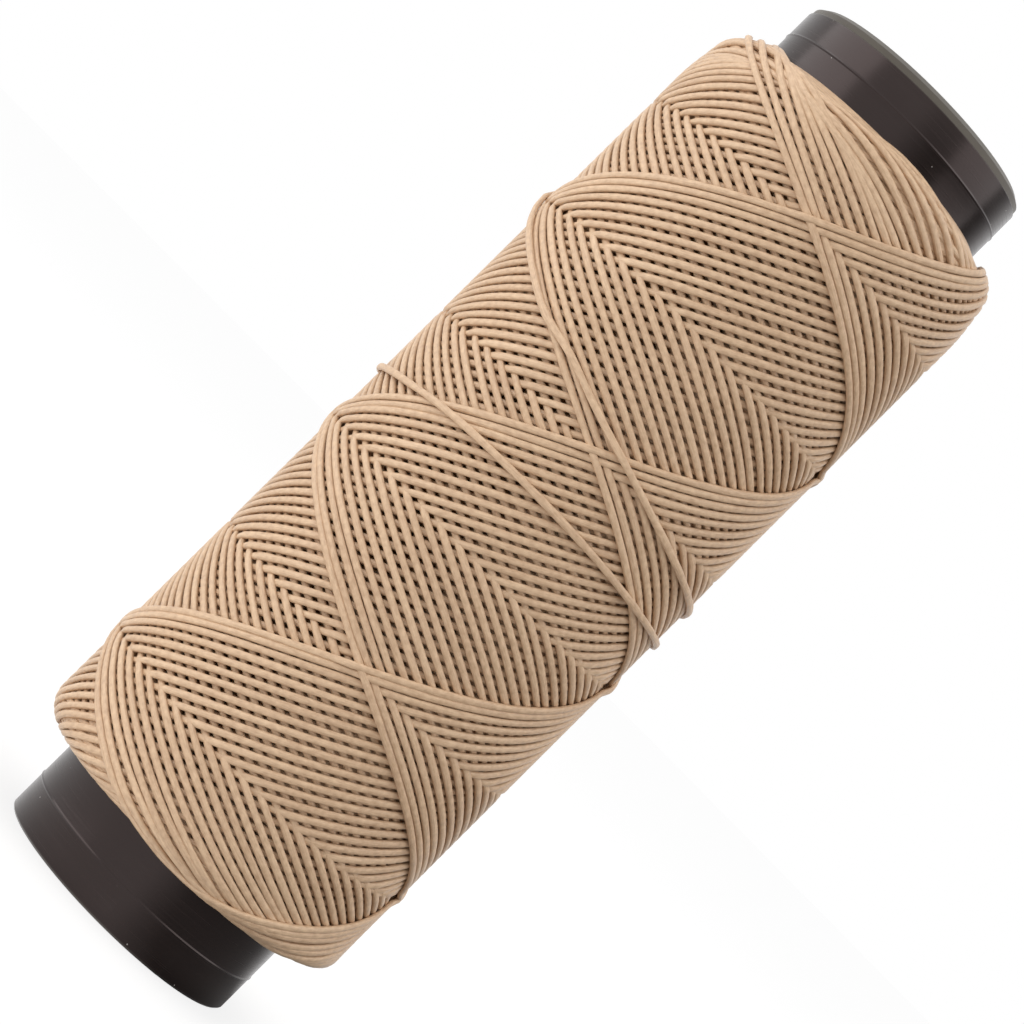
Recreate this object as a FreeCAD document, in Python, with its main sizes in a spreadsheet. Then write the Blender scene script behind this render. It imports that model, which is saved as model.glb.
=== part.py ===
import FreeCAD, Part
import math
import os
import Sketcher

# A spool of waxed sewing thread, standing on the foot of its tube. Millimetres, +Z up the tube's
# axis, with the origin at the middle of the tube's lower end. -Y is the front.
#
# core_tube     the moulded plastic tube that the thread is wound on
# wound_thread  the wound thread as one closed solid of the package's outer shape
# last_turns    the end of the same thread, which lies loose round the package in one open lay

DRIVING_SIZES = {
    # the tube narrows a little towards its head, as the mould's draft makes it
    "tube_length": 140.0,
    "foot_radius": 18.1,
    "head_radius": 17.8,
    "bore_radius": 16.2,
    "bore_chamfer": 0.5,
    "foot_chamfer": 0.3,
    # the head ends in a band that is a step smaller than the tube, with a rounded rim
    "band_height": 1.4,
    "band_step": 0.25,
    "band_round": 0.6,
    # a fine raised ring runs round the tube near each end
    "ring_inset": 5.2,
    "ring_height": 0.12,
    "ring_width": 0.4,
    # the package of wound thread: its two ends lean inwards and round over
    "package_start": 10.6,
    "package_length": 121.4,
    "package_foot_radius": 24.0,
    "package_head_radius": 23.7,
    "foot_lean": 1.4,
    "head_lean": 2.6,
    "head_slope_length": 6.4,
    "head_slope_drop": 0.9,
    "foot_round": 3.4,
    "head_round": 3.0,
    "thread_diameter": 0.9,
}

# The last turns' route as (degrees round the package from the front, height). The angle grows
# anticlockwise seen from above, and each 360 more is another time round. The thread comes down
# with the rest of the winding, slips at -30 degrees and then lies in a flat loop round the middle.
LAST_TURNS_KNOTS = [
    (-176, 117.8),
    (-104, 102.8),
    (-76, 96.4),
    (-51, 91.4),
    (-34, 88.2),
    (-20, 86.8),
    (-6, 84.7),
    (20, 81.3),
    (60, 77.3),
    (110, 74.2),
    (180, 71.2),
    (240, 69.7),
    (273, 70.1),
    (304, 71.1),
    (334, 72.2),
    (360, 72.4),
    (390, 72.0),
    (419, 70.9),
    (447, 69.9),
    (480, 69.4),
    (512, 69.2),
]
# The angle from one point of the swept path to the next, about.
ROUTE_STEP_DEG = 16.0

# The gap left between the last turns and the package under them.
LAY_CLEARANCE = 0.05
# An arc takes this share of the shorter run beside it, on each side of its point.
ARC_SHARE = 0.45

# A new outline starts as points round this ellipse, and its constraints then move them.
START_MIDDLE = (30.0, 70.0)
START_SPREAD = (5.0, 60.0)
# Edges are found by radius and height to within this distance.
EDGE_TOLERANCE = 0.01


def make_sheet(doc):
    sheet = doc.addObject("Spreadsheet::Sheet", "Sizes")
    for row, (alias, value) in enumerate(DRIVING_SIZES.items(), start=1):
        sheet.set(f"A{row}", alias)
        sheet.set(f"B{row}", str(value))
        sheet.setAlias(f"B{row}", alias)
    doc.recompute()
    return sheet


def tube_radius(height):
    """The tube's outer radius at a height, as an expression on the sheet."""
    draft = "(Sizes.foot_radius - Sizes.head_radius)"
    return f"Sizes.foot_radius - {draft} * ({height}) / Sizes.tube_length"


def make_body(doc, label):
    body = doc.addObject("PartDesign::Body", label)
    body.Label = label
    return body


def add_outline(body, name, corners):
    """A closed outline in the body's XZ plane, through corners given as (radius, height) expressions."""
    sketch = body.newObject("Sketcher::SketchObject", name)
    planes = {feature.Role: feature for feature in body.Origin.OriginFeatures}
    sketch.AttachmentSupport = [(planes["XZ_Plane"], "")]
    sketch.MapMode = "FlatFace"
    count = len(corners)
    turn = 2 * math.pi / count
    start = [
        FreeCAD.Vector(
            START_MIDDLE[0] + START_SPREAD[0] * math.cos(turn * i),
            START_MIDDLE[1] + START_SPREAD[1] * math.sin(turn * i),
            0,
        )
        for i in range(count)
    ]
    for i in range(count):
        sketch.addGeometry(Part.LineSegment(start[i], start[(i + 1) % count]), False)
    for i in range(count):
        sketch.addConstraint(Sketcher.Constraint("Coincident", i, 2, (i + 1) % count, 1))
    for i, (radius, height) in enumerate(corners):
        bind_corner(sketch, i, "DistanceX", start[i].x, radius)
        if height == "0":
            sketch.addConstraint(Sketcher.Constraint("PointOnObject", i, 1, -1))
        else:
            bind_corner(sketch, i, "DistanceY", start[i].y, height)
    return sketch


def bind_corner(sketch, corner, kind, value, expression):
    """Holds one corner's distance from the axis or from the base at an expression."""
    index = sketch.addConstraint(Sketcher.Constraint(kind, -1, 1, corner, 1, value))
    sketch.setExpression(f"Constraints[{index}]", expression)


def revolve(body, name, corners):
    sketch = add_outline(body, name + "_outline", corners)
    feature = body.newObject("PartDesign::Revolution", name)
    feature.Profile = sketch
    feature.ReferenceAxis = (sketch, ["V_Axis"])
    feature.Angle = 360.0
    body.Document.recompute()
    return feature


def round_edges(feature, radius, height):
    """Names of the feature's round edges with this radius at this height."""
    names = []
    for i, edge in enumerate(feature.Shape.Edges, start=1):
        curve = edge.Curve
        if not isinstance(curve, Part.Circle):
            continue
        same_radius = abs(curve.Radius - radius) < EDGE_TOLERANCE
        same_height = abs(curve.Center.z - height) < EDGE_TOLERANCE
        if same_radius and same_height:
            names.append(f"Edge{i}")
    return names


def dress(body, kind, name, size, places):
    """Adds a Fillet or Chamfer, sized from the sheet, on the round edges at (radius, height) places."""
    base = body.Tip
    edges = [edge for place in places for edge in round_edges(base, *place)]
    if len(edges) < len(places):
        raise RuntimeError(f"{name}: an edge to dress was not found")
    feature = body.newObject(f"PartDesign::{kind}", name)
    feature.Base = (base, edges)
    feature.setExpression("Radius" if kind == "Fillet" else "Size", f"Sizes.{size}")
    body.Document.recompute()
    return feature


def add_ring(body, name, height):
    """A fine raised ring round the tube, with its root sunk into the wall."""
    half = "Sizes.ring_width / 2"
    root = f"{tube_radius(height)} - Sizes.ring_height"
    tip = f"{tube_radius(height)} + Sizes.ring_height"
    corners = [
        (root, f"{height} - {half}"),
        (root, f"{height} + {half}"),
        (tip, height),
    ]
    return revolve(body, name, corners)


def make_core_tube(doc, sheet):
    body = make_body(doc, "core_tube")
    band_base = "Sizes.tube_length - Sizes.band_height"
    band_radius = "Sizes.head_radius - Sizes.band_step"
    revolve(
        body,
        "wall",
        [
            ("Sizes.bore_radius", "0"),
            ("Sizes.foot_radius", "0"),
            (tube_radius(band_base), band_base),
            (band_radius, band_base),
            (band_radius, "Sizes.tube_length"),
            ("Sizes.bore_radius", "Sizes.tube_length"),
        ],
    )
    length = sheet.tube_length
    rim_radius = sheet.head_radius - sheet.band_step
    bore_mouths = [(sheet.bore_radius, 0), (sheet.bore_radius, length)]
    dress(body, "Chamfer", "bore_mouths", "bore_chamfer", bore_mouths)
    dress(body, "Chamfer", "foot_edge", "foot_chamfer", [(sheet.foot_radius, 0)])
    dress(body, "Fillet", "head_rim", "band_round", [(rim_radius, length)])
    add_ring(body, "foot_ring", "Sizes.ring_inset")
    add_ring(body, "head_ring", "Sizes.tube_length - Sizes.ring_inset")
    return body


def make_wound_thread(doc, sheet):
    body = make_body(doc, "wound_thread")
    low = "Sizes.package_start"
    high = "(Sizes.package_start + Sizes.package_length)"
    slope_end = f"{high} - Sizes.head_lean"
    slope_start = f"{slope_end} - Sizes.head_slope_length"
    shoulder = "Sizes.package_head_radius - Sizes.head_slope_drop"
    revolve(
        body,
        "package",
        [
            (tube_radius(low), low),
            ("Sizes.package_foot_radius", f"{low} + Sizes.foot_lean"),
            ("Sizes.package_head_radius", slope_start),
            (shoulder, slope_end),
            (tube_radius(high), high),
        ],
    )
    foot_edge = (sheet.package_foot_radius, sheet.package_start + sheet.foot_lean)
    top = sheet.package_start + sheet.package_length - sheet.head_lean
    head_edge = (sheet.package_head_radius - sheet.head_slope_drop, top)
    dress(body, "Fillet", "foot_shoulder", "foot_round", [foot_edge])
    dress(body, "Fillet", "head_shoulder", "head_round", [head_edge])
    return body


def package_radius(sheet, height):
    """The package's outer radius at a height between its two shoulders."""
    low = sheet.package_start + sheet.foot_lean
    high = sheet.package_start + sheet.package_length - sheet.head_lean - sheet.head_slope_length
    share = (height - low) / (high - low)
    return sheet.package_foot_radius + share * (sheet.package_head_radius - sheet.package_foot_radius)


def spline_value(knots, angle):
    """The route's height at an angle, on a smooth curve through its knots."""
    i = 0
    while i < len(knots) - 2 and knots[i + 1][0] < angle:
        i += 1
    before = knots[max(i - 1, 0)]
    start = knots[i]
    end = knots[i + 1]
    after = knots[min(i + 2, len(knots) - 1)]
    span = end[0] - start[0]
    share = (angle - start[0]) / span
    slope_in = (end[1] - before[1]) / (end[0] - before[0]) * span
    slope_out = (after[1] - start[1]) / (after[0] - start[0]) * span
    rise = end[1] - start[1]
    bend = share * share * (3 - 2 * share)
    lead = share * (1 - share) ** 2
    trail = share * share * (share - 1)
    return start[1] + bend * rise + lead * slope_in + trail * slope_out


def last_turns_points(sheet):
    """The route's points, far enough out that the straight runs between them clear the package."""
    first = LAST_TURNS_KNOTS[0][0]
    last = LAST_TURNS_KNOTS[-1][0]
    count = round((last - first) / ROUTE_STEP_DEG)
    step = (last - first) / count
    points = []
    for i in range(count + 1):
        angle = first + i * step
        height = spline_value(LAST_TURNS_KNOTS, angle)
        middle = package_radius(sheet, height) + sheet.thread_diameter / 2 + LAY_CLEARANCE
        radius = middle / math.cos(math.radians(step / 2))
        around = math.radians(angle)
        points.append(
            FreeCAD.Vector(radius * math.sin(around), -radius * math.cos(around), height)
        )
    return points


def rounded_path(points):
    """A wire of straight runs through points, joined by arcs that are tangent to both runs."""
    edges = []
    start = points[0]
    radii = []
    for before, corner, after in zip(points, points[1:], points[2:]):
        back = before - corner
        ahead = after - corner
        trim = ARC_SHARE * min(back.Length, ahead.Length)
        back.normalize()
        ahead.normalize()
        arc_in = corner + back * trim
        arc_out = corner + ahead * trim
        half_turn = (math.pi - back.getAngle(ahead)) / 2
        radius = trim / math.tan(half_turn)
        bisector = back + ahead
        bisector.normalize()
        inset = radius / math.cos(half_turn) - radius
        edges.append(Part.LineSegment(start, arc_in).toShape())
        edges.append(Part.Arc(arc_in, corner + bisector * inset, arc_out).toShape())
        radii.append(radius)
        start = arc_out
    edges.append(Part.LineSegment(start, points[-1]).toShape())
    print(f"last_turns: arc radii {min(radii):.1f} to {max(radii):.1f} mm")
    return Part.Wire(edges)


def make_last_turns(doc, sheet):
    """The loose turns, a round section swept along the route. A wire through space has no sketch."""
    points = last_turns_points(sheet)
    path = rounded_path(points)
    section = Part.Circle(points[0], points[1] - points[0], sheet.thread_diameter / 2)
    thread = path.makePipeShell([Part.Wire(section.toShape())], True, False)
    feature = doc.addObject("Part::Feature", "last_turns")
    feature.Label = "last_turns"
    feature.Shape = thread
    feature.Placement = FreeCAD.Placement()
    swept = math.pi * (sheet.thread_diameter / 2) ** 2 * path.Length
    print(f"last_turns: length {path.Length:.0f} mm")
    print(f"last_turns: volume {thread.Volume / swept:.4f} of section times length")
    return feature


def check_and_write(doc, parts):
    for item in doc.Objects:
        if "Invalid" in item.State or "Error" in item.State:
            raise RuntimeError(f"{item.Label} failed: {item.State}")
    for part in parts:
        if part.Shape.isNull() or not part.Shape.isValid():
            raise RuntimeError(f"{part.Label} has no valid shape")
    os.makedirs("parts", exist_ok=True)
    for part in parts:
        part.Shape.exportStep(f"parts/{part.Label}.step")
        box = part.Shape.optimalBoundingBox()
        print(f"{part.Label}: {part.Shape.Volume / 1000:.2f} cm3")
        print(f"    z {box.ZMin:.2f} to {box.ZMax:.2f}, width {box.XLength:.2f}, depth {box.YLength:.2f}")


def main():
    doc = FreeCAD.newDocument("thread_spool")
    sheet = make_sheet(doc)
    parts = [
        make_core_tube(doc, sheet),
        make_wound_thread(doc, sheet),
        make_last_turns(doc, sheet),
    ]
    doc.recompute()
    check_and_write(doc, parts)


main()
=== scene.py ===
import math

import bpy
import numpy as np
from mathutils import Matrix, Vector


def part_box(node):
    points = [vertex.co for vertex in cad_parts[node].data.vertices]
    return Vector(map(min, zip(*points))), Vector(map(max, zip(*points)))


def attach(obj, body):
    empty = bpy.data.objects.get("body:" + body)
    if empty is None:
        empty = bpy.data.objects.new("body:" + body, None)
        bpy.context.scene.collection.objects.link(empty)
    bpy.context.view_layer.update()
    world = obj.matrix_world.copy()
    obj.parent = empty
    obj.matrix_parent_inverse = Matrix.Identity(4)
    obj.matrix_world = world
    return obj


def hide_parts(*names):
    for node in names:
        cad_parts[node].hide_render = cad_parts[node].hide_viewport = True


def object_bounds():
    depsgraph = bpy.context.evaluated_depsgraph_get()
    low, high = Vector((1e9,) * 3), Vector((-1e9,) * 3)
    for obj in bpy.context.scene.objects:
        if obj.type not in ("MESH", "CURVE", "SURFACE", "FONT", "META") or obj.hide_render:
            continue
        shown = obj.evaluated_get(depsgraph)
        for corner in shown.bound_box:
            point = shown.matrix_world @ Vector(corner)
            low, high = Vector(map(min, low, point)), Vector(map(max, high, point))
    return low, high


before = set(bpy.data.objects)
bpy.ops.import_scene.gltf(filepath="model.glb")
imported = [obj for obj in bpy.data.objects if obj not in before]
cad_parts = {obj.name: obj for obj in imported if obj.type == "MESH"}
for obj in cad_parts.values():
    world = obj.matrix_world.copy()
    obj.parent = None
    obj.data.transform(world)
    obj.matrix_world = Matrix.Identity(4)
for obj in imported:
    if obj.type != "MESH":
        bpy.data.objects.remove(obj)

# A spool of waxed sewing thread. Blender's units are metres. The winding is worked out in
# millimetres and turned into metres where its meshes are made.
#
# The thread is laid pass by pass, as a winding machine lays it: it goes round the spool while a
# guide carries it up and down, and each pass lies about one thickness over the ones that it crosses.

MM = 0.001
CAD_LOW, CAD_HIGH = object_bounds()


# ---------------------------------------------------------------- camera, light and floor

CAMERA_DISTANCE = 0.377
CAMERA_HEIGHT = 0.069
CAMERA_LENS = 106.7
CAMERA_ROLL_DEG = 45.19
CAMERA_SENSOR = 36.0
CAMERA_NEAR = 0.01
CAMERA_FAR = 20.0


def make_camera():
    """Looks level along +Y, rolled so that the spool lies corner to corner."""
    data = bpy.data.cameras.new("camera")
    data.lens = CAMERA_LENS
    data.sensor_width = CAMERA_SENSOR
    data.clip_start = CAMERA_NEAR
    data.clip_end = CAMERA_FAR
    camera = bpy.data.objects.new("camera", data)
    bpy.context.scene.collection.objects.link(camera)
    roll = math.radians(CAMERA_ROLL_DEG)
    right = (math.cos(roll), 0.0, math.sin(roll))
    up = (-math.sin(roll), 0.0, math.cos(roll))
    back = (0.0, -1.0, 0.0)
    turn = Matrix((right, up, back)).transposed().to_4x4()
    camera.matrix_world = Matrix.Translation((0.0, -CAMERA_DISTANCE, CAMERA_HEIGHT)) @ turn
    bpy.context.scene.camera = camera


def add_node(tree, kind, **inputs):
    """A node of this kind. An input's name has _ for a space, and its value is a number or a socket."""
    node = tree.nodes.new(kind)
    for name, value in inputs.items():
        socket = node.inputs[name.replace("_", " ")]
        if isinstance(value, bpy.types.NodeSocket):
            tree.links.new(value, socket)
        else:
            socket.default_value = value
    return node


def combine(tree, operation, first, second):
    """A Math node on two numbers or sockets."""
    node = tree.nodes.new("ShaderNodeMath")
    node.operation = operation
    for socket, value in zip(node.inputs, (first, second)):
        if isinstance(value, bpy.types.NodeSocket):
            tree.links.new(value, socket)
        else:
            socket.default_value = value
    return node.outputs["Value"]


def weigh(tree, *parts):
    """The sum of (value, weight) pairs, each value times its weight."""
    products = [combine(tree, "MULTIPLY", value, weight) for value, weight in parts]
    total = products[0]
    for product in products[1:]:
        total = combine(tree, "ADD", total, product)
    return total


def remap(tree, value, low, high, to_low, to_high):
    """value's range low to high, turned into to_low to to_high and held there."""
    node = tree.nodes.new("ShaderNodeMapRange")
    tree.links.new(value, node.inputs["Value"])
    node.inputs["From Min"].default_value = low
    node.inputs["From Max"].default_value = high
    node.inputs["To Min"].default_value = to_low
    node.inputs["To Max"].default_value = to_high
    return node.outputs["Result"]


def blend_colors(tree, share, first, second):
    """first where share is 0 and second where it is 1. Each is a colour or a socket."""
    node = tree.nodes.new("ShaderNodeMix")
    node.data_type = "RGBA"
    tree.links.new(share, node.inputs["Factor"])
    for name, value in (("A", first), ("B", second)):
        socket = next(s for s in node.inputs if s.name == name and s.type == "RGBA")
        if isinstance(value, bpy.types.NodeSocket):
            tree.links.new(value, socket)
        else:
            socket.default_value = value
    return next(s for s in node.outputs if s.type == "RGBA")


WHITE = (1.0, 1.0, 1.0, 1.0)
# The camera sees the room as white and the floor as near white. To all other rays they are darker over
# a low patch to the right and a little in front.
DARK_SIDE = (0.95, -0.31, 0.0)
DARK_EDGE = 0.36
DARK_CORE = 0.76
ROOM_DARK = 0.16
FLOOR_DARK = 0.0
PATCH_LOW = 0.16
PATCH_HIGH = 0.50


def whiteness(tree, direction, darkest):
    """1 where a direction points away from the dark side, down to darkest where it faces it."""
    facing = tree.nodes.new("ShaderNodeVectorMath")
    facing.operation = "DOT_PRODUCT"
    tree.links.new(direction, facing.inputs[0])
    facing.inputs[1].default_value = DARK_SIDE
    return remap(tree, facing.outputs["Value"], DARK_EDGE, DARK_CORE, 1.0, darkest)


def white_to_camera(tree, level):
    """level, except that the camera itself sees white."""
    seen = tree.nodes.new("ShaderNodeLightPath").outputs["Is Camera Ray"]
    return combine(tree, "MAXIMUM", level, seen)


def make_room():
    world = bpy.data.worlds.new("white_room")
    bpy.context.scene.world = world
    world.use_nodes = True
    tree = world.node_tree
    tree.nodes.clear()
    direction = tree.nodes.new("ShaderNodeTexCoord").outputs["Generated"]
    height = tree.nodes.new("ShaderNodeSeparateXYZ")
    tree.links.new(direction, height.inputs[0])
    steepness = combine(tree, "ABSOLUTE", height.outputs["Z"], 0.0)
    above = remap(tree, steepness, PATCH_LOW, PATCH_HIGH, 0.0, 1.0)
    level = combine(tree, "MAXIMUM", whiteness(tree, direction, ROOM_DARK), above)
    strength = white_to_camera(tree, level)
    light = add_node(tree, "ShaderNodeBackground", Color=WHITE, Strength=strength)
    output = tree.nodes.new("ShaderNodeOutputWorld")
    tree.links.new(light.outputs["Background"], output.inputs["Surface"])


# Each panel's place, width and power, in metres and watts.
KEY_PANEL = ((-0.75, -0.15, 0.38), 0.9, 3.6)
FILL_PANEL = ((0.62, -0.15, 0.55), 0.8, 2.3)


def add_panel(name, place, size, power):
    """A soft square light that faces the middle of the spool."""
    data = bpy.data.lights.new(name, "AREA")
    data.size = size
    data.energy = power
    panel = bpy.data.objects.new(name, data)
    bpy.context.scene.collection.objects.link(panel)
    panel.location = place
    middle = (CAD_LOW + CAD_HIGH) / 2
    panel.rotation_euler = (middle - panel.location).to_track_quat("-Z", "Y").to_euler()


FLOOR_RADIUS = 3.0
FLOOR_RINGS = 24
FLOOR_SIDES = 96
FLOOR_GLOW = 0.74
FLOOR_GREY = (0.25, 0.25, 0.25, 1.0)
FLOOR_ROUGHNESS = 0.9


def make_floor():
    """A round floor that its own light makes near white to the camera."""
    verts = []
    faces = []
    for ring in range(FLOOR_RINGS):
        radius = FLOOR_RADIUS * ((ring + 1) / FLOOR_RINGS) ** 2
        for side in range(FLOOR_SIDES):
            around = 2 * math.pi * side / FLOOR_SIDES
            verts.append((radius * math.cos(around), radius * math.sin(around), 0.0))
    faces.append(tuple(range(FLOOR_SIDES)))
    for ring in range(FLOOR_RINGS - 1):
        for side in range(FLOOR_SIDES):
            after = (side + 1) % FLOOR_SIDES
            low = ring * FLOOR_SIDES
            high = low + FLOOR_SIDES
            faces.append((low + side, high + side, high + after, low + after))
    mesh = bpy.data.meshes.new("floor")
    mesh.from_pydata(verts, [], faces)
    floor = bpy.data.objects.new("floor", mesh)
    bpy.context.scene.collection.objects.link(floor)
    material = bpy.data.materials.new("pale_floor")
    material.use_nodes = True
    tree = material.node_tree
    shader = tree.nodes["Principled BSDF"]
    direction = tree.nodes.new("ShaderNodeVectorMath")
    direction.operation = "NORMALIZE"
    tree.links.new(tree.nodes.new("ShaderNodeTexCoord").outputs["Object"], direction.inputs[0])
    level = white_to_camera(tree, whiteness(tree, direction.outputs["Vector"], FLOOR_DARK))
    glow = combine(tree, "MULTIPLY", level, FLOOR_GLOW)
    shader.inputs["Base Color"].default_value = FLOOR_GREY
    shader.inputs["Roughness"].default_value = FLOOR_ROUGHNESS
    shader.inputs["Specular IOR Level"].default_value = 0.0
    shader.inputs["Emission Color"].default_value = WHITE
    tree.links.new(glow, shader.inputs["Emission Strength"])
    mesh.materials.append(material)


# ---------------------------------------------------------------- materials

SURFACE_MAP = "along"


def new_material(name):
    """An empty node material: its tree, its shader, and the surface map's two lengths in mm."""
    material = bpy.data.materials.new(name)
    material.use_nodes = True
    tree = material.node_tree
    shader = tree.nodes["Principled BSDF"]
    surface = tree.nodes.new("ShaderNodeUVMap")
    surface.uv_map = SURFACE_MAP
    return material, tree, shader, surface.outputs["UV"]


def stretched_noise(tree, surface, along, across, detail):
    """Noise whose spots are this many mm long and wide on the surface map."""
    scaled = tree.nodes.new("ShaderNodeVectorMath")
    scaled.operation = "MULTIPLY"
    tree.links.new(surface, scaled.inputs[0])
    scaled.inputs[1].default_value = (1 / along, 1 / across, 1.0)
    noise = add_node(
        tree, "ShaderNodeTexNoise", Vector=scaled.outputs["Vector"], Scale=1.0, Detail=detail
    )
    return noise.outputs[0]


def add_bump(tree, shader, height, depth):
    """Bump from a 0 to 1 height, depth metres deep."""
    bump = add_node(tree, "ShaderNodeBump", Height=height, Strength=1.0, Distance=depth)
    tree.links.new(bump.outputs["Normal"], shader.inputs["Normal"])


THREAD_PALE = (0.71, 0.500, 0.322, 1.0)
THREAD_DEEP = (0.50, 0.322, 0.195, 1.0)
# The older thread that shows in the gaps: the thread's own tone, made brighter and redder as painted bounce
# light in the gaps' shade.
CORE_PALE = (0.80, 0.42, 0.17, 1.0)
CORE_DEEP = (0.55, 0.25, 0.08, 1.0)
# Noise on the surface map: the spots' length along and width across in mm, and the detail.
THREAD_DRIFT = (45.0, 30.0, 1.0)
THREAD_WAX = (0.9, 0.5, 3.0)
THREAD_FIBRES = (2.2, 0.11, 3.0)
# How much each noise counts in the colour, and which stretch of their sum runs from deep to pale.
DRIFT_TONE = 0.25
WAX_TONE = 0.45
FIBRE_TONE = 0.30
TONE_RANGE = (0.38, 0.62)
# The wax's noise over this range gives the thread's roughness.
WAX_RANGE = (0.3, 0.7)
THREAD_ROUGHNESS = (0.32, 0.52)
# How much the fibres and the wax count in the bump, and its depth in metres.
FIBRE_RELIEF = 0.6
WAX_RELIEF = 0.4
THREAD_BUMP = 0.00011
SPECULAR = 0.5


def make_thread_material(name, pale, deep):
    """Waxed cord: satin, faintly mottled where the wax is thicker, with fine fibres along it."""
    material, tree, shader, surface = new_material(name)
    drift = stretched_noise(tree, surface, *THREAD_DRIFT)
    wax = stretched_noise(tree, surface, *THREAD_WAX)
    fibres = stretched_noise(tree, surface, *THREAD_FIBRES)
    tone = weigh(tree, (drift, DRIFT_TONE), (wax, WAX_TONE), (fibres, FIBRE_TONE))
    color = blend_colors(tree, remap(tree, tone, *TONE_RANGE, 0.0, 1.0), deep, pale)
    tree.links.new(color, shader.inputs["Base Color"])
    tree.links.new(remap(tree, wax, *WAX_RANGE, *THREAD_ROUGHNESS), shader.inputs["Roughness"])
    add_bump(tree, shader, weigh(tree, (fibres, FIBRE_RELIEF), (wax, WAX_RELIEF)), THREAD_BUMP)
    shader.inputs["Specular IOR Level"].default_value = SPECULAR
    return material


PLASTIC_DARK = (0.0066, 0.0043, 0.0036, 1.0)
PLASTIC_WORN = (0.0125, 0.0090, 0.0080, 1.0)
PLASTIC_SHEEN = (1.0, 0.80, 0.78, 1.0)
# Painted highlight: the lighter grey laid on the head's band and the foot's chamfer, for the light that
# these rims catch.
RIM_HIGHLIGHT = (0.085, 0.078, 0.062, 1.0)
DUST = (0.42, 0.40, 0.38, 1.0)
# Fine scratches round the tube and broad clouds, as noise like the thread's.
HAIRS = (18.0, 0.16, 4.0)
CLOUD = (14.0, 9.0, 3.0)
# The stretch of their sum that runs from dark to worn.
WORN_RANGE = (0.95, 1.3)
# How strongly the foot's chamfer takes the painted highlight, how softly the lighter rims end in metres,
# and the range of the clouds that makes the painted highlight patchy, down to a least share.
FOOT_HIGHLIGHT = 0.75
RIM_BLUR = 0.00012
RIM_PATCHES = (0.3, 0.6)
RIM_LEAST = 0.65
# Specks of dust: their cells for each mm, their soft edge in cells, and the tone over which a cell has one.
DUST_SCALE = 0.45
DUST_EDGE = (0.026, 0.052)
DUST_TONES = (0.42, 0.50)
DUST_RELIEF = 2.0
# The scratches over this range give the plastic's roughness.
HAIR_RANGE = (0.45, 0.75)
PLASTIC_ROUGHNESS = (0.20, 0.30)
RIM_ROUGHNESS = 0.45
PLASTIC_BUMP = 0.000007


def make_tube_material():
    """Moulded brown-black plastic: semi-gloss, a painted highlight of lighter grey at its rims, finely
    scratched and dusty.
    """
    material, tree, shader, surface = new_material("tube_plastic")
    hairs = stretched_noise(tree, surface, *HAIRS)
    cloud = stretched_noise(tree, surface, *CLOUD)
    worn = remap(tree, combine(tree, "ADD", hairs, cloud), *WORN_RANGE, 0.0, 1.0)
    plain = blend_colors(tree, worn, PLASTIC_DARK, PLASTIC_WORN)
    height = tree.nodes.new("ShaderNodeSeparateXYZ")
    tree.links.new(tree.nodes.new("ShaderNodeTexCoord").outputs["Object"], height.inputs[0])
    # The head's band and the foot's chamfer are lightened towards this grey as a painted highlight, and
    # made a little rougher.
    band = (TUBE_LENGTH - BAND_HEIGHT) * MM
    at_head = remap(tree, height.outputs["Z"], band - RIM_BLUR, band + RIM_BLUR, 0.0, 1.0)
    at_foot = remap(tree, height.outputs["Z"], 0.0, FOOT_CHAMFER * MM + RIM_BLUR, FOOT_HIGHLIGHT, 0.0)
    lit_rims = combine(tree, "MAXIMUM", at_head, at_foot)
    patchy = combine(tree, "MULTIPLY", lit_rims, remap(tree, cloud, *RIM_PATCHES, RIM_LEAST, 1.0))
    color = blend_colors(tree, patchy, plain, RIM_HIGHLIGHT)
    specks = add_node(tree, "ShaderNodeTexVoronoi", Vector=surface, Scale=DUST_SCALE, Randomness=1.0)
    near = remap(tree, specks.outputs["Distance"], *DUST_EDGE, 1.0, 0.0)
    tone = tree.nodes.new("ShaderNodeSeparateColor")
    tree.links.new(specks.outputs["Color"], tone.inputs["Color"])
    dust = combine(tree, "MULTIPLY", near, remap(tree, tone.outputs[0], *DUST_TONES, 0.0, 1.0))
    tree.links.new(blend_colors(tree, dust, color, DUST), shader.inputs["Base Color"])
    scratched = remap(tree, hairs, *HAIR_RANGE, *PLASTIC_ROUGHNESS)
    roughness = combine(tree, "MAXIMUM", scratched, combine(tree, "MULTIPLY", lit_rims, RIM_ROUGHNESS))
    tree.links.new(combine(tree, "MAXIMUM", roughness, dust), shader.inputs["Roughness"])
    relief = combine(tree, "ADD", hairs, combine(tree, "MULTIPLY", dust, DUST_RELIEF))
    add_bump(tree, shader, relief, PLASTIC_BUMP)
    shader.inputs["Specular IOR Level"].default_value = SPECULAR
    shader.inputs["Specular Tint"].default_value = PLASTIC_SHEEN
    return material


# ---------------------------------------------------------------- meshes

def build_piece(name, verts, faces, surface, material, replaced=()):
    """A smooth mesh piece on the spool. verts are in mm, and surface has a map point per face corner."""
    mesh = bpy.data.meshes.new(name)
    mesh.from_pydata((verts * MM).tolist(), [], faces)
    layer = mesh.uv_layers.new(name=SURFACE_MAP)
    layer.data.foreach_set("uv", surface.astype(np.float32).ravel())
    mesh.shade_smooth()
    mesh.validate()
    mesh.materials.append(material)
    piece = bpy.data.objects.new(name, mesh)
    bpy.context.scene.collection.objects.link(piece)
    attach(piece, "root")
    if replaced:
        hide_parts(*replaced)
    return piece


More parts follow.
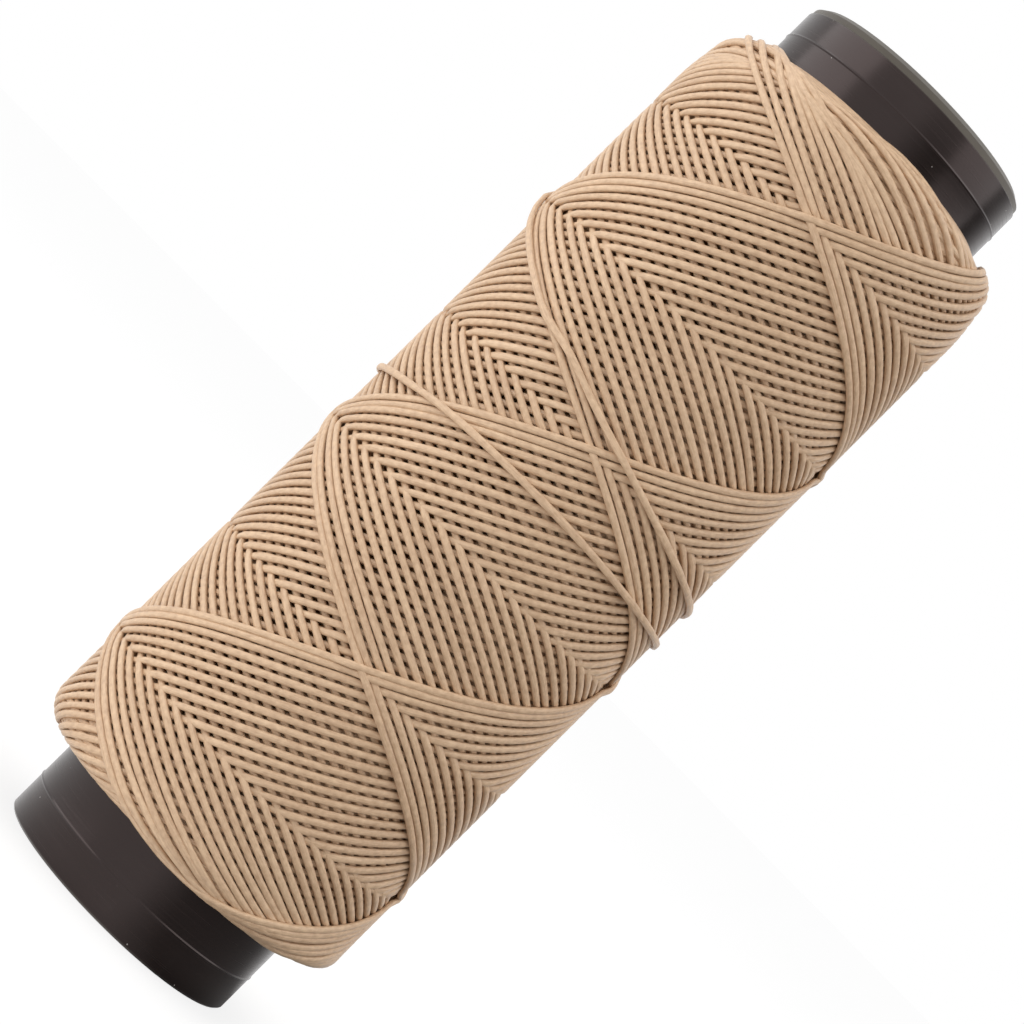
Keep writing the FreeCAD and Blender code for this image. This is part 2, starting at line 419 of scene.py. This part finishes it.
def lathe(radii, heights, sides, closed):
    """Verts, faces and map points of a profile turned round Z. The first side is at the front."""
    rows = len(radii)
    around = 2 * np.pi * np.arange(sides) / sides
    radii = np.broadcast_to(np.asarray(radii, float).reshape(rows, -1), (rows, sides))
    heights = np.broadcast_to(np.asarray(heights, float).reshape(rows, -1), (rows, sides))
    verts = np.stack([radii * np.sin(around), -radii * np.cos(around), heights], 2).reshape(-1, 3)
    row, side = np.meshgrid(np.arange(rows if closed else rows - 1), np.arange(sides), indexing="ij")
    row, side = row.ravel(), side.ravel()
    above, after = (row + 1) % rows, (side + 1) % sides
    corners = [row * sides + side, row * sides + after, above * sides + after, above * sides + side]
    faces = np.stack(corners, 1)
    reach = np.hypot(
        np.diff(radii[:, 0], append=radii[0, 0]), np.diff(heights[:, 0], append=heights[0, 0])
    )
    low = np.concatenate([[0.0], np.cumsum(reach)])
    girth = 2 * np.pi * radii[:, 0].max() / sides
    surface = np.stack(
        [
            np.stack([side * girth, low[row]], 1),
            np.stack([(side + 1) * girth, low[row]], 1),
            np.stack([(side + 1) * girth, low[row + 1]], 1),
            np.stack([side * girth, low[row + 1]], 1),
        ],
        1,
    )
    return verts, faces.tolist(), surface.reshape(-1, 2)


def rounded_outline(corners, rounds, step):
    """Points along straight runs through corners, each rounded by an arc of its own radius."""
    points = [np.array(corners[0], float)]
    for i in range(1, len(corners) - 1):
        corner = np.array(corners[i], float)
        back = np.array(corners[i - 1], float) - corner
        ahead = np.array(corners[i + 1], float) - corner
        back /= np.linalg.norm(back)
        ahead /= np.linalg.norm(ahead)
        opening = math.acos(float(back @ ahead))
        trim = rounds[i] / math.tan(opening / 2)
        bisector = (back + ahead) / np.linalg.norm(back + ahead)
        middle = corner + bisector * rounds[i] / math.sin(opening / 2)
        start = corner + back * trim - middle
        turn = math.pi - opening
        way = np.sign(start[0] * ahead[1] - start[1] * ahead[0])
        count = max(2, math.ceil(rounds[i] * turn / step))
        for j in range(count + 1):
            angle = way * turn * j / count
            c, s = math.cos(angle), math.sin(angle)
            points.append(middle + np.array([c * start[0] - s * start[1], s * start[0] + c * start[1]]))
    points.append(np.array(corners[-1], float))
    return np.array(points)


def resample(points, step):
    """The same line with points about step apart."""
    reach = np.concatenate([[0.0], np.cumsum(np.linalg.norm(np.diff(points, axis=0), axis=1))])
    places = np.linspace(0.0, reach[-1], math.ceil(reach[-1] / step) + 1)
    return np.stack([np.interp(places, reach, points[:, k]) for k in range(2)], 1)


# ---------------------------------------------------------------- the tube

TUBE_LENGTH = (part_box("core_tube")[1] / MM).z
FOOT_RADIUS = 18.1
HEAD_RADIUS = 17.8
BORE_RADIUS = 16.2
BORE_CHAMFER = 0.5
FOOT_CHAMFER = 0.3
EDGE_ROUND = 0.08
BAND_HEIGHT = 1.4
BAND_STEP = 0.25
BAND_ROUND = 0.6
RING_INSET = 5.2
RING_HEIGHT = 0.12
RING_WIDTH = 0.4
TUBE_SIDES = 360
ARC_STEP = 0.04
WALL_STEP = 4.0
BORE_ROWS = 24
# A small nub on the edge of the foot.
NUB_ANGLE_DEG = 30.0
NUB_HEIGHT = 0.22
NUB_SPREAD = 0.35


def tube_radius(height):
    return FOOT_RADIUS + (HEAD_RADIUS - FOOT_RADIUS) * height / TUBE_LENGTH


def make_tube(material):
    band = TUBE_LENGTH - BAND_HEIGHT
    rim = HEAD_RADIUS - BAND_STEP
    half = RING_WIDTH / 2
    outline = [(BORE_RADIUS, BORE_CHAMFER), (BORE_RADIUS + BORE_CHAMFER, 0.0)]
    rounds = [0.0, EDGE_ROUND]
    outline += [(FOOT_RADIUS - FOOT_CHAMFER, 0.0), (FOOT_RADIUS, FOOT_CHAMFER)]
    rounds += [EDGE_ROUND, EDGE_ROUND]
    for height in (RING_INSET, TUBE_LENGTH - RING_INSET):
        outline += [
            (tube_radius(height), height - half),
            (tube_radius(height) + RING_HEIGHT, height),
            (tube_radius(height), height + half),
        ]
        rounds += [EDGE_ROUND, EDGE_ROUND, EDGE_ROUND]
    outline += [(tube_radius(band), band), (rim, band), (rim, TUBE_LENGTH)]
    rounds += [EDGE_ROUND, EDGE_ROUND, BAND_ROUND]
    outline += [(BORE_RADIUS + BORE_CHAMFER, TUBE_LENGTH), (BORE_RADIUS, TUBE_LENGTH - BORE_CHAMFER)]
    rounds += [EDGE_ROUND, 0.0]
    wall = rounded_outline(outline, rounds, ARC_STEP)
    fine = [wall[0]]
    for start, end in zip(wall, wall[1:]):
        pieces = max(1, math.ceil(float(np.linalg.norm(end - start)) / WALL_STEP))
        fine += [start + (end - start) * (i + 1) / pieces for i in range(pieces)]
    bore = [fine[-1] + (fine[0] - fine[-1]) * i / BORE_ROWS for i in range(1, BORE_ROWS)]
    profile = np.array(fine + bore)
    around = 360.0 * np.arange(TUBE_SIDES) / TUBE_SIDES
    sideways = np.radians(around - NUB_ANGLE_DEG) * FOOT_RADIUS
    from_edge = np.hypot(profile[:, 0] - FOOT_RADIUS, profile[:, 1] - FOOT_CHAMFER)
    nub = NUB_HEIGHT * np.exp(-np.add.outer((from_edge / NUB_SPREAD) ** 2, (sideways / NUB_SPREAD) ** 2))
    radii = profile[:, :1] + nub
    verts, faces, surface = lathe(radii, profile[:, 1], TUBE_SIDES, closed=True)
    build_piece("tube", verts, faces, surface, material, ["core_tube"])


# ---------------------------------------------------------------- the package's outer surface

PACKAGE_LOW, PACKAGE_HIGH = (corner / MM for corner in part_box("wound_thread"))
PACKAGE_FOOT_RADIUS = 24.0
PACKAGE_HEAD_RADIUS = 23.7
FOOT_LEAN = 1.4
HEAD_LEAN = 2.6
HEAD_SLOPE_LENGTH = 6.4
HEAD_SLOPE_DROP = 0.9
FOOT_ROUND = 3.4
HEAD_ROUND = 3.0
SLOPE_ROUND = 25.0
OUTLINE_STEP = 0.05
SIDE_HEIGHT = 60.0


def package_outline():
    """The package's outer line from the tube at its foot to the tube at its head."""
    low, high = PACKAGE_LOW.z, PACKAGE_HIGH.z
    slope_end = high - HEAD_LEAN
    corners = [
        (tube_radius(low), low),
        (PACKAGE_FOOT_RADIUS, low + FOOT_LEAN),
        (PACKAGE_HEAD_RADIUS, slope_end - HEAD_SLOPE_LENGTH),
        (PACKAGE_HEAD_RADIUS - HEAD_SLOPE_DROP, slope_end),
        (tube_radius(high), high),
    ]
    points = rounded_outline(corners, [0.0, FOOT_ROUND, SLOPE_ROUND, HEAD_ROUND, 0.0], OUTLINE_STEP)
    return resample(points, OUTLINE_STEP)


OUTLINE = package_outline()
OUTLINE_REACH = np.concatenate([[0.0], np.cumsum(np.linalg.norm(np.diff(OUTLINE, axis=0), axis=1))])
OUTLINE_LENGTH = float(OUTLINE_REACH[-1])
OUTLINE_WAY = np.gradient(OUTLINE, OUTLINE_REACH, axis=0)


def on_outline(values, along):
    return np.interp(along, OUTLINE_REACH, values)


def outward(along):
    """The outline's outward direction, as its parts away from the axis and up."""
    out = on_outline(OUTLINE_WAY[:, 1], along)
    up = -on_outline(OUTLINE_WAY[:, 0], along)
    size = np.hypot(out, up)
    return out / size, up / size


def along_at_height(height):
    """How far along the outline a height on the package's side is."""
    return np.interp(height, OUTLINE[:, 1], OUTLINE_REACH)


def place_on_package(turns, along, lift):
    """Points at turns round from the front, along the outline, lifted off it. All in mm."""
    out, up = outward(along)
    radius = on_outline(OUTLINE[:, 0], along) + lift * out
    height = on_outline(OUTLINE[:, 1], along) + lift * up
    around = 2 * np.pi * turns
    return np.stack([radius * np.sin(around), -radius * np.cos(around), height], -1)


# The distance along the outline is the height at the package's side plus this.
SIDE_SHIFT = float(along_at_height(SIDE_HEIGHT)) - SIDE_HEIGHT


# ---------------------------------------------------------------- the path of the thread

# Each cycle goes up and down once. The pattern closes after THREADS_ROUND cycles.
THREADS_ROUND = 49
CYCLE_TURNS = 3 + 24 / THREADS_ROUND
PASS_TURNS = CYCLE_TURNS / 2
CYCLES = 2 * THREADS_ROUND
# Where the straight zigzag would turn, if the thread did not swing round short of it.
ZIGZAG_LOW = 6.5
ZIGZAG_HIGH = 136.7
RISE_PER_TURN = (ZIGZAG_HIGH - ZIGZAG_LOW) / PASS_TURNS
# How far round the last cycle starts.
LAST_CYCLE_START = 0.489
# The newest passes slid towards the ones before them.
SLIDES = (0.62 / THREADS_ROUND, 0.32 / THREADS_ROUND, 0.10 / THREADS_ROUND)
# Each closed pattern lands a little off the one under it.
PATTERN_DRIFT = 0.0034
# A pass takes this share of its length to slide, and wanders this many times to and fro.
SLIDE_SHARE = 1 / 6
WANDER = 0.08
WANDER_WAVES = (1, 2, 4, 7)
# No thread lies nearer than this to the outline's ends.
END_MARGIN = 0.3
# The turning places, as distances in from the package's ends. A turn that lies off the usual place
# comes back to the pattern within about TURN_REACH.
FOOT_TURNS = (0.8, 6.4)
HEAD_TURNS = (0.8, 7.4)
TURN_REACH = 8.0
# The turning places go in and out this many times round the spool at each end, and shift from one
# closed pattern to the next.
FOOT_WAVES = 1
HEAD_WAVES = 4
TURN_SHIFT = 0.3
TURN_SCATTER = 0.035

# Half the laid thread's width and thickness.
HALF_WIDTH = 0.465
HALF_THICKNESS = 0.35
# The section is this much squarer than an ellipse, whose power would be 1.
SECTION_POWER = 0.76
# The pressed thread's width swells and narrows along it: (length in mm, share of the width).
WIDTH_WAVES = ((6.1, 0.03), (15.7, 0.04), (43.0, 0.04))
# How far apart the middles of two crossing threads lie, pressed together.
CROSSING = 0.62
# The newest thread's middle over the outline, where it lies lowest.
TOP_LIFT = -0.17
# Near the package's ends, the passes lie this share closer under each other.
END_PACKING = 0.18
# A thread changes from the lower layer to the upper one within about this distance of its turn.
TURN_CHANGE = 2.0
# Circles on which up and down threads change places, four to each turn of the zigzag's rise.
CIRCLES_PER_TURN = 4
# The change takes the stretch between two neighbouring threads, eased over a little more.
CHANGE_START = -1.5 * CIRCLES_PER_TURN / (2 * THREADS_ROUND)
CHANGE_END = 0.5 * CIRCLES_PER_TURN / (2 * THREADS_ROUND)

# Sections for each turn round the spool: in old passes, in new ones, and where a height is worked out.
OLD_SAMPLES = 80
NEW_SAMPLES = 96
FINE_SAMPLES = 800
# Extra sections where threads change places, over CHANGE_REACH times the change. One that lies nearer
# to the one before it than LEAST_GAP of the usual step is left out, except a pass's last.
CHANGE_SAMPLES = 9
CHANGE_REACH = 1.4
LEAST_GAP = 0.25

# The last turns, as (degrees round from the front, height), the same as the CAD part's.
LAST_TURNS_KNOTS = [
    (-176, 117.8),
    (-104, 102.8),
    (-76, 96.4),
    (-51, 91.4),
    (-34, 88.2),
    (-20, 86.8),
    (-6, 84.7),
    (20, 81.3),
    (60, 77.3),
    (110, 74.2),
    (180, 71.2),
    (240, 69.7),
    (273, 70.1),
    (304, 71.1),
    (334, 72.2),
    (360, 72.4),
    (390, 72.0),
    (419, 70.9),
    (447, 69.9),
    (480, 69.4),
    (512, 69.2),
]
# Whole turns that carry the angles above on from the last pass.
LAST_TURNS_ADD = 3


def turning_places(rng, span, waves_round):
    """One turning place for each cycle. Neighbours in the pattern turn close to each other."""
    cycles = np.arange(CYCLES + 1)
    phase = waves_round * np.mod(cycles * CYCLE_TURNS, 1.0) + TURN_SHIFT * (cycles // THREADS_ROUND)
    share = np.abs(2 * np.mod(phase, 1.0) - 1) + TURN_SCATTER * rng.normal(size=CYCLES + 1)
    return span[0] + (span[1] - span[0]) * np.clip(share, 0.0, 1.0)


def smooth(share):
    """share held between 0 and 1, with a gentle start and end."""
    held = np.clip(share, 0.0, 1.0)
    return held * held * (3 - 2 * held)


def turn_swing(distance, place, usual):
    """How far a turn holds the thread off the straight zigzag, at a distance along it."""
    off = (place - usual) * np.exp(-((distance / TURN_REACH) ** 2))
    return np.sqrt(distance**2 + usual**2) - distance + off


def slide_of(cycles_left):
    """How far a pass has slid, in turns, when cycles_left more cycles lie on it."""
    newer = cycles_left // 2
    return SLIDES[newer] if newer < len(SLIDES) else 0.0


def pass_samples(per_turn):
    """Shares of a pass to put sections at, closer together where threads change places."""
    shares = [np.linspace(0.0, 1.0, round(PASS_TURNS * per_turn) + 1)]
    for circle in range(1, round(CIRCLES_PER_TURN * PASS_TURNS) + 1):
        close = CHANGE_REACH * np.linspace(CHANGE_START, CHANGE_END, CHANGE_SAMPLES)
        shares.append((circle + close) / CIRCLES_PER_TURN / PASS_TURNS)
    merged = np.unique(np.clip(np.concatenate(shares), 0.0, 1.0))
    keep = np.concatenate([[True], np.diff(merged) > LEAST_GAP / (PASS_TURNS * per_turn)])
    keep[-1] = True
    return merged[keep]


def layer_share(climb, going_up):
    """Where a new thread lies between the lower layer, 0, and the upper one, 1.

    climb is the height in circles. Just over a circle the up threads are the upper ones, and they
    sink to the lower place by the next circle, while the down threads do the opposite.
    """
    part = np.mod(climb, 1.0)
    up = 1.0 - part
    nearest = np.rint(climb)
    into = (climb - nearest - CHANGE_START) / (CHANGE_END - CHANGE_START)
    changing = (into > 0) & (into < 1)
    before = -CHANGE_START
    after = 1.0 - CHANGE_END
    up = np.where(changing, before + (after - before) * smooth(into), up)
    return up if going_up else 1.0 - up


def lay_pass(index, share, foot_places, head_places, waves):
    """One pass from end to end: turns round, distance along the outline, and lift off it."""
    cycle = index // 2
    going_up = index % 2 == 0
    up_share = share if going_up else 1 - share
    up_turns = PASS_TURNS * up_share
    from_low = RISE_PER_TURN * up_turns
    from_high = RISE_PER_TURN * (PASS_TURNS - up_turns)
    corner_low = ZIGZAG_LOW + SIDE_SHIFT
    corner_high = ZIGZAG_HIGH + SIDE_SHIFT
    foot_place = foot_places[cycle if going_up else min(cycle + 1, CYCLES)]
    head_place = OUTLINE_LENGTH - head_places[cycle]
    usual_low = sum(FOOT_TURNS) / 2 - corner_low
    usual_high = corner_high - OUTLINE_LENGTH + sum(HEAD_TURNS) / 2
    swing_low = turn_swing(from_low, foot_place - corner_low, usual_low)
    swing_high = turn_swing(from_high, corner_high - head_place, usual_high)
    wander = sum(size * np.sin(2 * np.pi * (n * share + phase)) for n, size, phase in waves[index])
    along = corner_low + from_low + swing_low - swing_high + wander * np.sin(np.pi * share)
    along = np.clip(along, END_MARGIN, OUTLINE_LENGTH - END_MARGIN)
    cycles_left = CYCLES - cycle
    start = LAST_CYCLE_START - cycles_left * CYCLE_TURNS - PATTERN_DRIFT * cycles_left / THREADS_ROUND
    slide = slide_of(cycles_left)
    slide_before = slide_of(cycles_left + (1 if going_up else 0))
    slid = slide_before + (slide - slide_before) * smooth(share / SLIDE_SHARE)
    turns = start + PASS_TURNS * (share + (0 if going_up else 1)) + slid
    climb = CIRCLES_PER_TURN * (up_turns + (slid if going_up else -slid) / 2)
    depth = 2 * CROSSING * (cycles_left - (share if going_up else 1 + share) / 2) / THREADS_ROUND
    ends = np.exp(-((from_low / TURN_REACH) ** 2)) + np.exp(-((from_high / TURN_REACH) ** 2))
    layer = layer_share(climb, going_up)
    # a turn is half way between the layers that its two passes lie in
    turning = np.exp(-((from_low / TURN_CHANGE) ** 2)) + np.exp(-((from_high / TURN_CHANGE) ** 2))
    layer = layer + (0.5 - layer) * np.clip(turning, 0, 1)
    lift = TOP_LIFT + CROSSING * layer - depth * (1 - END_PACKING * np.clip(ends, 0, 1))
    return turns, along, lift


def last_turns_path():
    """The loose last turns, numbered on from the turns of the last pass: turns and along."""
    knots = np.array(LAST_TURNS_KNOTS, float)
    slopes = np.gradient(knots[:, 1], knots[:, 0])
    first, last = knots[0, 0], knots[-1, 0]
    step = 360.0 / FINE_SAMPLES
    angles = np.linspace(first, last, round((last - first) / step))
    i = np.clip(np.searchsorted(knots[:, 0], angles, side="right") - 1, 0, len(knots) - 2)
    span = knots[i + 1, 0] - knots[i, 0]
    t = (angles - knots[i, 0]) / span
    heights = (
        knots[i, 1] * (1 + 2 * t) * (1 - t) ** 2
        + slopes[i] * span * t * (1 - t) ** 2
        + knots[i + 1, 1] * t * t * (3 - 2 * t)
        + slopes[i + 1] * span * t * t * (t - 1)
    )
    return angles / 360.0 + LAST_TURNS_ADD, along_at_height(heights)


# ---------------------------------------------------------------- laying the thread

# The height grid's cells are this many mm along the outline, and this many go round.
CELL = 0.2
COLUMNS = 720
ROWS = math.ceil(OUTLINE_LENGTH / CELL) + 1
# How sharply the loose last turns may sink between the places that hold them up, per mm.
SAG = 0.05
# A thread's crown is followed at ACROSS places over this share of its width. It is taken as an
# ellipse, a little rounder than the section that is drawn.
ACROSS = 9
CROWN_REACH = 0.94


def taut_height(need, length, sag):
    """The lowest line over need that bends downwards by no more than sag allows."""
    lowered = need - sag * length**2 / 2
    xs = length.tolist()
    ys = lowered.tolist()
    held = [0]
    for i in range(1, len(xs)):
        while len(held) > 1:
            a, b = held[-2], held[-1]
            if (ys[b] - ys[a]) * (xs[i] - xs[a]) <= (ys[i] - ys[a]) * (xs[b] - xs[a]):
                held.pop()
            else:
                break
        held.append(i)
    return np.interp(length, length[held], lowered[held]) + sag * length**2 / 2


def footprint(turns, along):
    """The cells under a thread, its crown over each, and the length of thread so far."""
    radius = on_outline(OUTLINE[:, 0], along)
    step_round = np.gradient(turns) * 2 * np.pi * radius
    step_along = np.gradient(along)
    step = np.hypot(step_round, step_along)
    across = np.linspace(-CROWN_REACH, CROWN_REACH, ACROSS)
    crown = HALF_THICKNESS * np.sqrt(1 - across**2)
    sideways = across * HALF_WIDTH
    rows = along[:, None] + (step_round / step)[:, None] * sideways
    columns = turns[:, None] - (step_along / step / (2 * np.pi * radius))[:, None] * sideways
    rows = np.clip(np.rint(rows / CELL).astype(int), 0, ROWS - 1)
    columns = np.rint(columns * COLUMNS).astype(int) % COLUMNS
    return rows, columns, crown, np.cumsum(step)


def raise_surface(surface, turns, along, lift):
    rows, columns, crown, _ = footprint(turns, along)
    np.maximum.at(surface, (rows, columns), lift[:, None] + crown)


def rest_on(surface, turns, along):
    """How high a taut thread lies that rests on the surface."""
    rows, columns, crown, length = footprint(turns, along)
    need = (surface[rows, columns] + crown).max(axis=1)
    return taut_height(need, length, SAG)


def first_surface(base):
    """The older thread under the passes: it is one thread higher behind each front."""
    along = (np.arange(ROWS) * CELL)[:, None]
    turns = (np.arange(COLUMNS) / COLUMNS)[None, :]
    risen = (along - ZIGZAG_LOW - SIDE_SHIFT) / RISE_PER_TURN
    up_age = np.mod(2 * (turns - LAST_CYCLE_START - risen), 1.0)
    down_age = np.mod(2 * (turns - LAST_CYCLE_START + risen), 1.0)
    return base + CROSSING * (2 - up_age - down_age)


# ---------------------------------------------------------------- thread meshes

def thread_tube(turns, along, lift, sides, map_start):
    """Verts, faces and map points of a flattened round thread through these places."""
    middle = place_on_package(turns, along, lift)
    way = np.gradient(middle, axis=0)
    way /= np.linalg.norm(way, axis=1)[:, None]
    out, up = outward(along)
    around = 2 * np.pi * turns
    normal = np.stack([out * np.sin(around), -out * np.cos(around), up], 1)
    normal -= way * np.sum(normal * way, axis=1)[:, None]
    normal /= np.linalg.norm(normal, axis=1)[:, None]
    side = np.cross(way, normal)
    length = map_start + np.concatenate(
        [[0.0], np.cumsum(np.linalg.norm(np.diff(middle, axis=0), axis=1))]
    )
    swell = 1 + sum(size * np.sin(2 * np.pi * length / wave) for wave, size in WIDTH_WAVES)
    turn = 2 * np.pi * (np.arange(sides) + 0.5) / sides
    across = np.sign(np.cos(turn)) * np.abs(np.cos(turn)) ** SECTION_POWER
    through = np.sign(np.sin(turn)) * np.abs(np.sin(turn)) ** SECTION_POWER
    ring = (
        HALF_WIDTH * swell[:, None, None] * across[None, :, None] * side[:, None, :]
        + HALF_THICKNESS * through[None, :, None] * normal[:, None, :]
    )
    verts = (middle[:, None, :] + ring).reshape(-1, 3)
    count = len(middle)
    i, j = np.meshgrid(np.arange(count - 1), np.arange(sides), indexing="ij")
    i, j = i.ravel(), j.ravel()
    after = (j + 1) % sides
    faces = np.stack([i * sides + j, (i + 1) * sides + j, (i + 1) * sides + after, i * sides + after], 1)
    girth = 2 * np.pi * math.sqrt((HALF_WIDTH**2 + HALF_THICKNESS**2) / 2) / sides
    surface = np.stack(
        [
            np.stack([length[i], j * girth], 1),
            np.stack([length[i + 1], j * girth], 1),
            np.stack([length[i + 1], (j + 1) * girth], 1),
            np.stack([length[i], (j + 1) * girth], 1),
        ],
        1,
    )
    faces = faces.tolist()
    faces.append(list(range(sides)))
    faces.append(list(range((count - 1) * sides, count * sides))[::-1])
    ends = np.concatenate([np.full((sides, 2), length[0]), np.full((sides, 2), length[-1])])
    return verts, faces, np.concatenate([surface.reshape(-1, 2), ends])


def make_thread_piece(name, stretches, sides, material, map_start, replaced=()):
    """One piece for stretches of (turns, along, lift) that follow each other."""
    joined = []
    for k in range(3):
        joined.append(np.concatenate([s[k][:-1] for s in stretches] + [stretches[-1][k][-1:]]))
    verts, faces, surface = thread_tube(*joined, sides, map_start)
    build_piece(name, verts, faces, surface, material, replaced)


# The passes are made as this many pieces, oldest first. The first OLD_GROUPS show only through gaps.
GROUPS = 6
OLD_GROUPS = 2
OLD_SIDES = 6
NEW_SIDES = 8
LAST_SIDES = 12
CORE_SIDES = 180
CORE_DEPTH = -3.3
CORE_ROW_STEP = 4
CORE_GAP = 0.05
MAP_GAP = 5000.0


def make_core(material):
    """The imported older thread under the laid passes, as one surface with the same fronts."""
    start = first_surface(CORE_DEPTH)
    rows = np.arange(0, ROWS, CORE_ROW_STEP)
    columns = np.arange(0, COLUMNS, COLUMNS // CORE_SIDES)
    along = np.minimum(rows * CELL, OUTLINE_LENGTH)
    lift = start[np.ix_(rows, columns)]
    out, up = outward(along)
    radius = on_outline(OUTLINE[:, 0], along)[:, None] + lift * out[:, None]
    height = on_outline(OUTLINE[:, 1], along)[:, None] + lift * up[:, None]
    radius = np.maximum(radius, tube_radius(height) + CORE_GAP)
    verts, faces, surface = lathe(radius, height, CORE_SIDES, closed=False)
    build_piece("thread_core", verts, faces, surface, material)


# The end faces are covered by the turns of older layers, side by side from the tube outwards.
FACE_START = 0.45
FACE_END = 8.6
FACE_PITCH = 0.86
FACE_LIFT = -0.95
FACE_WANDER = 0.13
FACE_SINK = 0.05
FACE_WAVES = (1.3, 2.7, 5.1, 9.7)


def make_face(name, rng, material, map_start, at_head):
    """The older turns that show on an end face, as one thread winding outwards.

    Its first turn is a closed ring against the tube, which hides where it starts.
    """
    whole_turns = 1 + (FACE_END - FACE_START) / FACE_PITCH
    turns = np.linspace(0.0, whole_turns, round(whole_turns * NEW_SAMPLES) + 1)
    outwards = np.maximum(turns - 1, 0.0)
    along = FACE_START + FACE_PITCH * outwards
    lift = np.full(len(turns), FACE_LIFT)
    for rate in FACE_WAVES:
        to_and_fro = smooth(outwards) * np.sin(2 * np.pi * (rate * turns + rng.random()))
        along = along + rng.normal(0, FACE_WANDER) / math.sqrt(rate) * to_and_fro
        lift = lift + rng.normal(0, FACE_SINK) * to_and_fro
    along = np.maximum(along, END_MARGIN)
    if at_head:
        along = OUTLINE_LENGTH - along
    make_thread_piece(name, [(turns, along, lift)], NEW_SIDES, material, map_start)


# The loose last turns keep every LAST_STEP-th of their fine samples. Their tail dips into the
# package over its last TUCK_TURNS.
LAST_STEP = 4
TUCK_TURNS = 0.07
TUCK_DEPTH = 1.5


def lead_in(index, first_turn, first_along, winding):
    """The last pass down, from its turn at the head to where the loose last turns begin."""
    turned = lay_pass(index, np.array([0.0]), *winding)[0][0]
    end = (first_turn - turned) / PASS_TURNS
    count = LAST_STEP * round((first_turn - turned) * FINE_SAMPLES / LAST_STEP) + 1
    share = np.linspace(0.0, end, count)
    turns, along, lift = lay_pass(index, share, *winding)
    bend = smooth(share / end)
    return turns, along + (first_along - along[-1]) * bend, lift, bend


def settle_last_turns(index, winding):
    """The lead-in and the loose last turns, resting on the passes laid before pass index."""
    surface = np.full((ROWS, COLUMNS), CORE_DEPTH)
    fine = np.linspace(0.0, 1.0, round(PASS_TURNS * FINE_SAMPLES))
    for older in range(index // 2, index):
        raise_surface(surface, *lay_pass(older, fine, *winding))
    loose_turns, loose_along = last_turns_path()
    lead_turns, lead_along, lead_lift, bend = lead_in(index, loose_turns[0], loose_along[0], winding)
    turns = np.concatenate([lead_turns[:-1], loose_turns])
    along = np.concatenate([lead_along[:-1], loose_along])
    lift = rest_on(surface, turns, along)
    joint = len(lead_turns) - 1
    lift[: joint + 1] = lead_lift + (lift[: joint + 1] - lead_lift) * bend
    lift -= TUCK_DEPTH * (1 - smooth((turns[-1] - turns) / TUCK_TURNS))
    lead = tuple(values[: joint + 1 : LAST_STEP] for values in (turns, along, lift))
    loose = tuple(values[joint::LAST_STEP] for values in (turns, along, lift))
    return lead, loose


WINDING_SEED = 49


def make_winding():
    material = make_thread_material("waxed_thread", THREAD_PALE, THREAD_DEEP)
    # The core's thread colours carry painted bounce light for the gaps' shade.
    make_core(make_thread_material("packed_thread_gap_light", CORE_PALE, CORE_DEEP))
    rng = np.random.default_rng(WINDING_SEED)
    foot_places = turning_places(rng, FOOT_TURNS, FOOT_WAVES)
    head_places = turning_places(rng, HEAD_TURNS, HEAD_WAVES)
    count = 2 * CYCLES + 1
    waves = [
        [(n, rng.normal(0, WANDER / n), rng.random()) for n in WANDER_WAVES] for _ in range(count + 1)
    ]
    winding = (foot_places, head_places, waves)
    lead, loose = settle_last_turns(count, winding)
    size = math.ceil(count / GROUPS)
    for group in range(GROUPS):
        old = group < OLD_GROUPS
        newest = group == GROUPS - 1
        share = pass_samples(OLD_SAMPLES if old else NEW_SAMPLES)
        members = range(group * size, min((group + 1) * size, count))
        stretches = [lay_pass(index, share, *winding) for index in members]
        if newest:
            stretches.append(lead)
        replaced = ["wound_thread"] if newest else []
        sides = OLD_SIDES if old else NEW_SIDES
        name = f"thread_layer_{group + 1}"
        make_thread_piece(name, stretches, sides, material, group * MAP_GAP, replaced)
    last_map = GROUPS * MAP_GAP
    make_thread_piece("last_turns_thread", [loose], LAST_SIDES, material, last_map, ["last_turns"])
    make_face("foot_face_thread", rng, material, (GROUPS + 1) * MAP_GAP, at_head=False)
    make_face("head_face_thread", rng, material, (GROUPS + 2) * MAP_GAP, at_head=True)


# ---------------------------------------------------------------- the scene

def main():
    make_camera()
    bpy.context.scene.view_settings.view_transform = "Standard"
    make_room()
    add_panel("key_panel", *KEY_PANEL)
    add_panel("fill_panel", *FILL_PANEL)
    make_floor()
    make_tube(make_tube_material())
    make_winding()


main()
